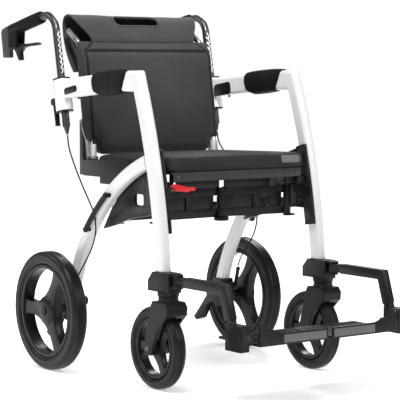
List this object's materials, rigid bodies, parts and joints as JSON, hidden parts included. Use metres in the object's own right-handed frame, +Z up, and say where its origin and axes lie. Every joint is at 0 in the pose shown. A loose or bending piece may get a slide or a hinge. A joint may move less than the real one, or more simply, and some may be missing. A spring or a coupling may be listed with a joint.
{
  "type": "rollator transport chair",
  "caption": "Folding walking frame and transport chair with curved side frames, padded seat and back, push handles with brakes, swing-out footrests and casters.",
  "frame": {"origin": "middle of the chair at floor level, under the centre of the overall box", "axes": "+X to the seated person's left, +Y to the rear, +Z up"},
  "size_m": [0.6768, 1.124, 0.938],
  "materials": {
    "frame_white": "gloss",
    "fabric_black": "woven, matte",
    "foam_black": "foam, matte",
    "metal_black": "satin",
    "plastic_black": "matte",
    "plastic_dark": "matte",
    "plastic_grey": "matte",
    "tyre_rubber": "matte",
    "handle_metal": "dark anodised",
    "grip_rubber": "matte",
    "cable_black": "satin",
    "steel": "brushed",
    "back_metal": "satin",
    "latch_red": "gloss"
  },
  "bodies": {
    "frame_r": {"front_post_r": "frame_white", "armrest_beam_r": "frame_white", "rear_leg_r": "frame_white", "armrest_pad_r": "foam_black", "side_bracket_r": "metal_black", "seat_rail_r": "metal_black", "post_foot_r": "plastic_black", "axle_housing_r": "plastic_black", "handle_collars_r": "plastic_black", "brake_cable_r": "cable_black", "back_bracket_r": "plastic_black", "back_tube_r": "back_metal", "back_sling": "fabric_black"},
    "link_front_r": {"link_front_r": "metal_black"},
    "link_front_l": {"link_front_l": "metal_black"},
    "frame_l": {"front_post_l": "frame_white", "armrest_beam_l": "frame_white", "rear_leg_l": "frame_white", "armrest_pad_l": "foam_black", "side_bracket_l": "metal_black", "seat_rail_l": "metal_black", "post_foot_l": "plastic_black", "axle_housing_l": "plastic_black", "handle_collars_l": "plastic_black", "brake_cable_l": "cable_black", "back_bracket_l": "plastic_black", "back_tube_l": "back_metal"},
    "link_rear_r": {"link_rear_r": "metal_black"},
    "link_rear_l": {"link_rear_l": "metal_black"},
    "seat": {"seat_cushion": "fabric_black", "seat_board": "plastic_dark"},
    "handle_r": {"handle_tube_r": "handle_metal", "grip_r": "grip_rubber", "handle_hook_r": "plastic_grey"},
    "brake_lever_r": {"brake_lever_r": "plastic_dark"},
    "brake_arm_r": {"brake_arm_r": "steel"},
    "clamp_r": {"clamp_lever_r": "plastic_black"},
    "caster_r": {"caster_fork_r": "plastic_dark"},
    "caster_wheel_r": {"caster_rim_r": "plastic_dark", "caster_tyre_r": "tyre_rubber"},
    "rear_wheel_r": {"rear_rim_r": "plastic_dark", "rear_tyre_r": "tyre_rubber"},
    "footrest_r": {"footrest_arm_r": "metal_black"},
    "footplate_r": {"footplate_r": "plastic_dark"},
    "back_tab_r": {"back_tab_r": "plastic_grey"},
    "handle_l": {"handle_tube_l": "handle_metal", "grip_l": "grip_rubber", "handle_hook_l": "plastic_grey"},
    "brake_lever_l": {"brake_lever_l": "plastic_dark"},
    "brake_arm_l": {"brake_arm_l": "steel"},
    "clamp_l": {"clamp_lever_l": "plastic_black"},
    "caster_l": {"caster_fork_l": "plastic_dark"},
    "caster_wheel_l": {"caster_rim_l": "plastic_dark", "caster_tyre_l": "tyre_rubber"},
    "rear_wheel_l": {"rear_rim_l": "plastic_dark", "rear_tyre_l": "tyre_rubber"},
    "footrest_l": {"footrest_arm_l": "metal_black"},
    "footplate_l": {"footplate_l": "plastic_dark"},
    "back_tab_l": {"back_tab_l": "plastic_grey"},
    "fold_latch": {"fold_latch": "latch_red"}
  },
  "joints": [
    {"name": "fold", "type": "hinge", "parent": "frame_r", "child": "link_front_r", "pos_m": [-0.205, -0.14, 0.445], "axis": [0, 0, 1], "range_deg": [0, 75], "deforming": ["back_sling"]},
    {"name": "fold_middle", "type": "hinge", "parent": "link_front_r", "child": "link_front_l", "pos_m": [0, -0.128, 0.445], "axis": [0, 0, 1], "range_deg": [-150, 0]},
    {"name": "fold_left", "type": "hinge", "parent": "link_front_l", "child": "frame_l", "pos_m": [0.205, -0.14, 0.445], "axis": [0, 0, 1], "range_deg": [0, 75]},
    {"name": "rear_link_right", "type": "hinge", "parent": "frame_r", "child": "link_rear_r", "pos_m": [-0.205, 0.03, 0.412], "axis": [0, 0, 1], "range_deg": [0, 75]},
    {"name": "rear_link_middle", "type": "hinge", "parent": "link_rear_r", "child": "link_rear_l", "pos_m": [0, 0.042, 0.412], "axis": [0, 0, 1], "range_deg": [-150, 0]},
    {"name": "seat_flip", "type": "hinge", "parent": "frame_l", "child": "seat", "pos_m": [0.182, -0.035, 0.545], "axis": [0, 1, 0], "range_deg": [0, 90]},
    {"name": "handle_height_r", "type": "slide", "parent": "frame_r", "child": "handle_r", "axis": [0, 0.1908, 0.9816], "range_m": [-0.1, 0.04], "deforming": ["brake_cable_r"]},
    {"name": "brake_squeeze_r", "type": "hinge", "parent": "handle_r", "child": "brake_lever_r", "pos_m": [-0.2445, 0.48539, 0.8464], "axis": [1, 0, 0], "range_deg": [-18, 15], "stiffness_Nm_per_rad": 0.3},
    {"name": "brake_turn_r", "type": "hinge", "parent": "frame_r", "child": "brake_arm_r", "pos_m": [-0.2445, 0.165, 0.178], "axis": [1, 0, 0], "range_deg": [-10, 10]},
    {"name": "clamp_open_r", "type": "hinge", "parent": "frame_r", "child": "clamp_r", "pos_m": [-0.2445, 0.27871, 0.69624], "axis": [1, 0, 0], "range_deg": [0, 100]},
    {"name": "caster_swivel_r", "type": "hinge", "parent": "frame_r", "child": "caster_r", "pos_m": [-0.2445, -0.242, 0.23], "axis": [0, 0, 1], "continuous": true},
    {"name": "caster_roll_r", "type": "hinge", "parent": "caster_r", "child": "caster_wheel_r", "pos_m": [-0.2445, -0.196, 0.1025], "axis": [1, 0, 0], "continuous": true},
    {"name": "wheel_roll_r", "type": "hinge", "parent": "frame_r", "child": "rear_wheel_r", "pos_m": [-0.316, 0.196, 0.155], "axis": [1, 0, 0], "continuous": true},
    {"name": "footrest_swing_r", "type": "hinge", "parent": "frame_r", "child": "footrest_r", "pos_m": [-0.2445, -0.284, 0.275], "axis": [0, 0, -1], "range_deg": [0, 90]},
    {"name": "footplate_flip_r", "type": "hinge", "parent": "footrest_r", "child": "footplate_r", "pos_m": [-0.2225, -0.519, 0.163], "axis": [0, -1, 0], "range_deg": [0, 95.1]},
    {"name": "back_release_r", "type": "hinge", "parent": "frame_r", "child": "back_tab_r", "pos_m": [-0.198, 0.1715, 0.551], "axis": [1, 0, 0], "range_deg": [0, 15], "stiffness_Nm_per_rad": 0.02},
    {"name": "handle_height_l", "type": "slide", "parent": "frame_l", "child": "handle_l", "axis": [0, 0.1908, 0.9816], "range_m": [-0.1, 0.04], "deforming": ["brake_cable_l"]},
    {"name": "brake_squeeze_l", "type": "hinge", "parent": "handle_l", "child": "brake_lever_l", "pos_m": [0.2445, 0.48539, 0.8464], "axis": [1, 0, 0], "range_deg": [-18, 15], "stiffness_Nm_per_rad": 0.3},
    {"name": "brake_turn_l", "type": "hinge", "parent": "frame_l", "child": "brake_arm_l", "pos_m": [0.2445, 0.165, 0.178], "axis": [1, 0, 0], "range_deg": [-10, 10]},
    {"name": "clamp_open_l", "type": "hinge", "parent": "frame_l", "child": "clamp_l", "pos_m": [0.2445, 0.27871, 0.69624], "axis": [1, 0, 0], "range_deg": [0, 100]},
    {"name": "caster_swivel_l", "type": "hinge", "parent": "frame_l", "child": "caster_l", "pos_m": [0.2445, -0.242, 0.23], "axis": [0, 0, 1], "continuous": true},
    {"name": "caster_roll_l", "type": "hinge", "parent": "caster_l", "child": "caster_wheel_l", "pos_m": [0.2445, -0.196, 0.1025], "axis": [1, 0, 0], "continuous": true},
    {"name": "wheel_roll_l", "type": "hinge", "parent": "frame_l", "child": "rear_wheel_l", "pos_m": [0.316, 0.196, 0.155], "axis": [1, 0, 0], "continuous": true},
    {"name": "footrest_swing_l", "type": "hinge", "parent": "frame_l", "child": "footrest_l", "pos_m": [0.2445, -0.284, 0.275], "axis": [0, 0, 1], "range_deg": [0, 90]},
    {"name": "footplate_flip_l", "type": "hinge", "parent": "footrest_l", "child": "footplate_l", "pos_m": [0.2225, -0.519, 0.163], "axis": [0, 1, 0], "range_deg": [0, 95.1]},
    {"name": "back_release_l", "type": "hinge", "parent": "frame_l", "child": "back_tab_l", "pos_m": [0.198, 0.1715, 0.551], "axis": [1, 0, 0], "range_deg": [0, 15], "stiffness_Nm_per_rad": 0.02},
    {"name": "latch_press", "type": "hinge", "parent": "frame_r", "child": "fold_latch", "pos_m": [-0.2105, -0.207, 0.4897], "axis": [0, 1, 0], "range_deg": [0, 20], "stiffness_Nm_per_rad": 0.08}
  ],
  "couplings": [
    {"joint": "fold_middle", "follows": "fold", "ratio": -2},
    {"joint": "fold_left", "follows": "fold", "ratio": 1},
    {"joint": "rear_link_right", "follows": "fold", "ratio": 1},
    {"joint": "rear_link_middle", "follows": "fold", "ratio": -2},
    {"joint": "seat_flip", "follows": "fold", "ratio": 1.2},
    {"joint": "footplate_flip_r", "follows": "fold", "ratio": 1.2667},
    {"joint": "footplate_flip_l", "follows": "fold", "ratio": 1.2667},
    {"joint": "brake_turn_r", "follows": "brake_squeeze_r", "ratio": 0.4},
    {"joint": "brake_turn_l", "follows": "brake_squeeze_l", "ratio": 0.4}
  ]
}
